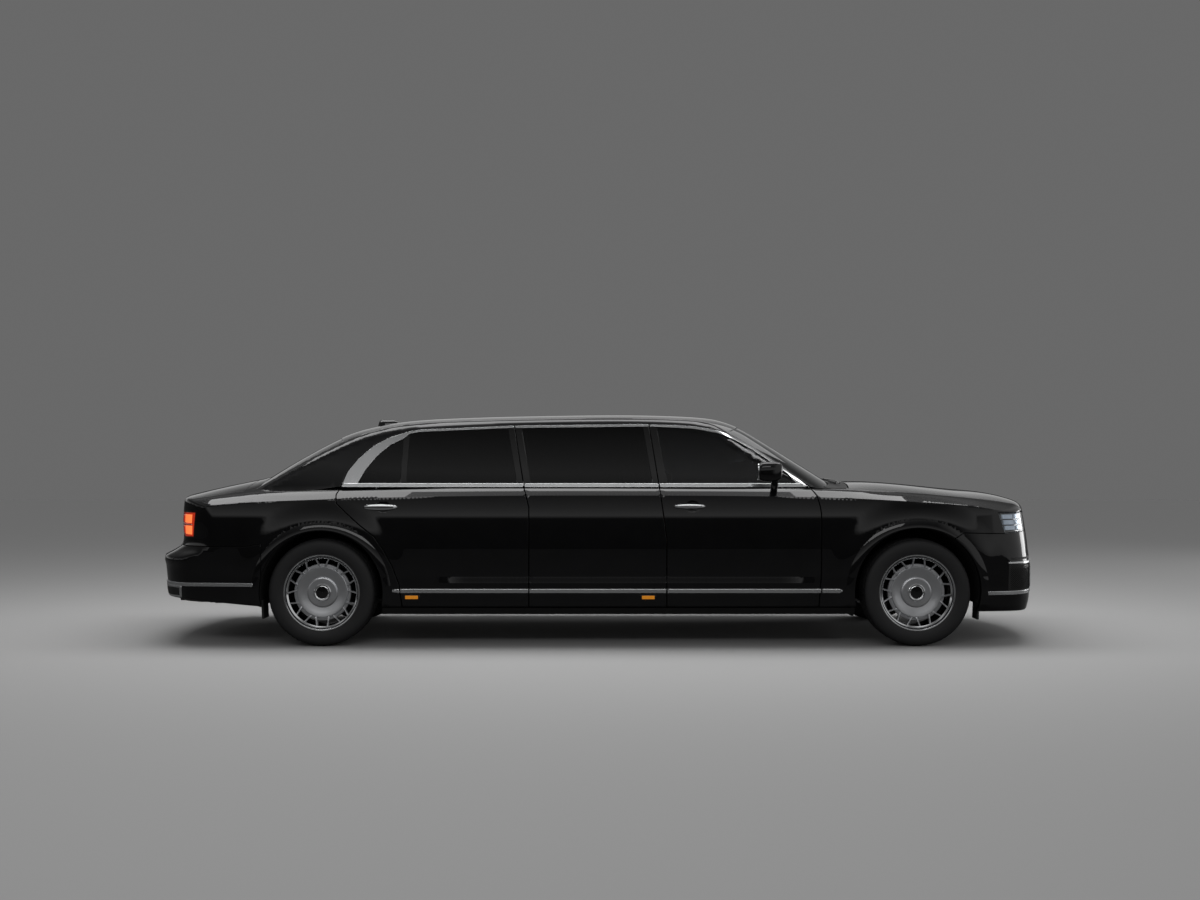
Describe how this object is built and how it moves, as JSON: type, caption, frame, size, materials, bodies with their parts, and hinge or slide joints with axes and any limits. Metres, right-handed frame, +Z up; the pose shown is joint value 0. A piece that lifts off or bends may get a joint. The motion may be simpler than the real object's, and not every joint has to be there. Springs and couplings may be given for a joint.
{
  "type": "limousine",
  "caption": "Long four-door saloon limousine with a fixed centre section, opening doors, bonnet and boot lid, steered front wheels and turning wheels.",
  "frame": {"origin": "on the ground, below the middle of the car's bounding box", "axes": "+X towards the nose, +Y to the car's left, +Z up"},
  "size_m": [6.62, 2.33, 1.692],
  "materials": {
    "alloy": "satin",
    "chrome": "gloss",
    "frame": "satin",
    "glass": "gloss",
    "lamp_clear": "gloss",
    "lamp_red": "gloss",
    "leather": "satin",
    "paint": "gloss",
    "pipe": "satin",
    "plastic": "matte",
    "steel": "satin",
    "tyre": "matte"
  },
  "bodies": {
    "body": {"antenna_pod": "plastic", "arch_liners": "plastic", "body_frame": "frame", "centre_panels": "paint", "centre_windows": "glass", "dashboard": "plastic", "engine_block": "steel", "exhaust_system": "pipe", "floor_pan": "frame", "front_bumper": "paint", "front_fenders": "paint", "front_seats": "leather", "front_suspension": "steel", "grille": "chrome", "headlamps": "lamp_clear", "partition": "frame", "quarter_panels": "paint", "rear_bumper": "paint", "rear_seats": "leather", "rear_suspension": "steel", "rear_window": "glass", "roof_frame": "paint", "steering_wheel": "plastic", "tail_lamps": "lamp_red", "windscreen": "glass"},
    "bonnet_panel": {"bonnet": "paint"},
    "boot_lid_panel": {"boot_lid": "paint"},
    "front_left_steering_knuckle": {"front_left_knuckle": "steel"},
    "front_left_wheel_set": {"front_left_tyre": "tyre", "front_left_wheel": "alloy"},
    "front_right_steering_knuckle": {"front_right_knuckle": "steel"},
    "front_right_wheel_set": {"front_right_tyre": "tyre", "front_right_wheel": "alloy"},
    "left_front_door_set": {"left_front_door": "paint", "left_front_door_glass": "glass", "left_front_door_handle": "chrome", "left_mirror": "paint"},
    "left_rear_door_set": {"left_rear_door": "paint", "left_rear_door_glass": "glass", "left_rear_door_handle": "chrome"},
    "rear_left_wheel_set": {"rear_left_tyre": "tyre", "rear_left_wheel": "alloy"},
    "rear_right_wheel_set": {"rear_right_tyre": "tyre", "rear_right_wheel": "alloy"},
    "right_front_door_set": {"right_front_door": "paint", "right_front_door_glass": "glass", "right_front_door_handle": "chrome", "right_mirror": "paint"},
    "right_rear_door_set": {"right_rear_door": "paint", "right_rear_door_glass": "glass", "right_rear_door_handle": "chrome"}
  },
  "joints": [
    {"name": "left_front_steer", "type": "hinge", "parent": "body", "child": "front_left_steering_knuckle", "pos_m": [2.302, 0.783, 0.388], "axis": [0, 0, 1], "range_deg": [-32, 32]},
    {"name": "right_front_steer", "type": "hinge", "parent": "body", "child": "front_right_steering_knuckle", "pos_m": [2.302, -0.783, 0.388], "axis": [0, 0, 1], "range_deg": [-32, 32]},
    {"name": "front_left_wheel_spin", "type": "hinge", "parent": "front_left_steering_knuckle", "child": "front_left_wheel_set", "pos_m": [2.302, 0.843, 0.388], "axis": [0, 1, 0], "continuous": true},
    {"name": "front_right_wheel_spin", "type": "hinge", "parent": "front_right_steering_knuckle", "child": "front_right_wheel_set", "pos_m": [2.302, -0.843, 0.388], "axis": [0, 1, 0], "continuous": true},
    {"name": "rear_left_wheel_spin", "type": "hinge", "parent": "body", "child": "rear_left_wheel_set", "pos_m": [-1.998, 0.843, 0.388], "axis": [0, 1, 0], "continuous": true},
    {"name": "rear_right_wheel_spin", "type": "hinge", "parent": "body", "child": "rear_right_wheel_set", "pos_m": [-1.998, -0.843, 0.388], "axis": [0, 1, 0], "continuous": true},
    {"name": "left_front_door_hinge", "type": "hinge", "parent": "body", "child": "left_front_door_set", "pos_m": [1.592, 0.99781, 0.78], "axis": [0, 0, -1], "range_deg": [0, 65]},
    {"name": "right_front_door_hinge", "type": "hinge", "parent": "body", "child": "right_front_door_set", "pos_m": [1.592, -0.99781, 0.78], "axis": [0, 0, 1], "range_deg": [0, 65]},
    {"name": "left_rear_door_hinge", "type": "hinge", "parent": "body", "child": "left_rear_door_set", "pos_m": [-0.513, 1.00085, 0.78], "axis": [0, 0, -1], "range_deg": [0, 65]},
    {"name": "right_rear_door_hinge", "type": "hinge", "parent": "body", "child": "right_rear_door_set", "pos_m": [-0.513, -1.00085, 0.78], "axis": [0, 0, 1], "range_deg": [0, 65]},
    {"name": "bonnet_hinge", "type": "hinge", "parent": "body", "child": "bonnet_panel", "pos_m": [1.8245, 0, 1.123], "axis": [0, -1, 0], "range_deg": [0, 48]},
    {"name": "boot_lid_hinge", "type": "hinge", "parent": "body", "child": "boot_lid_panel", "pos_m": [-2.6145, 0, 1.183], "axis": [0, 1, 0], "range_deg": [0, 72]}
  ],
  "couplings": [
    {"joint": "right_front_steer", "follows": "left_front_steer", "ratio": 1}
  ]
}
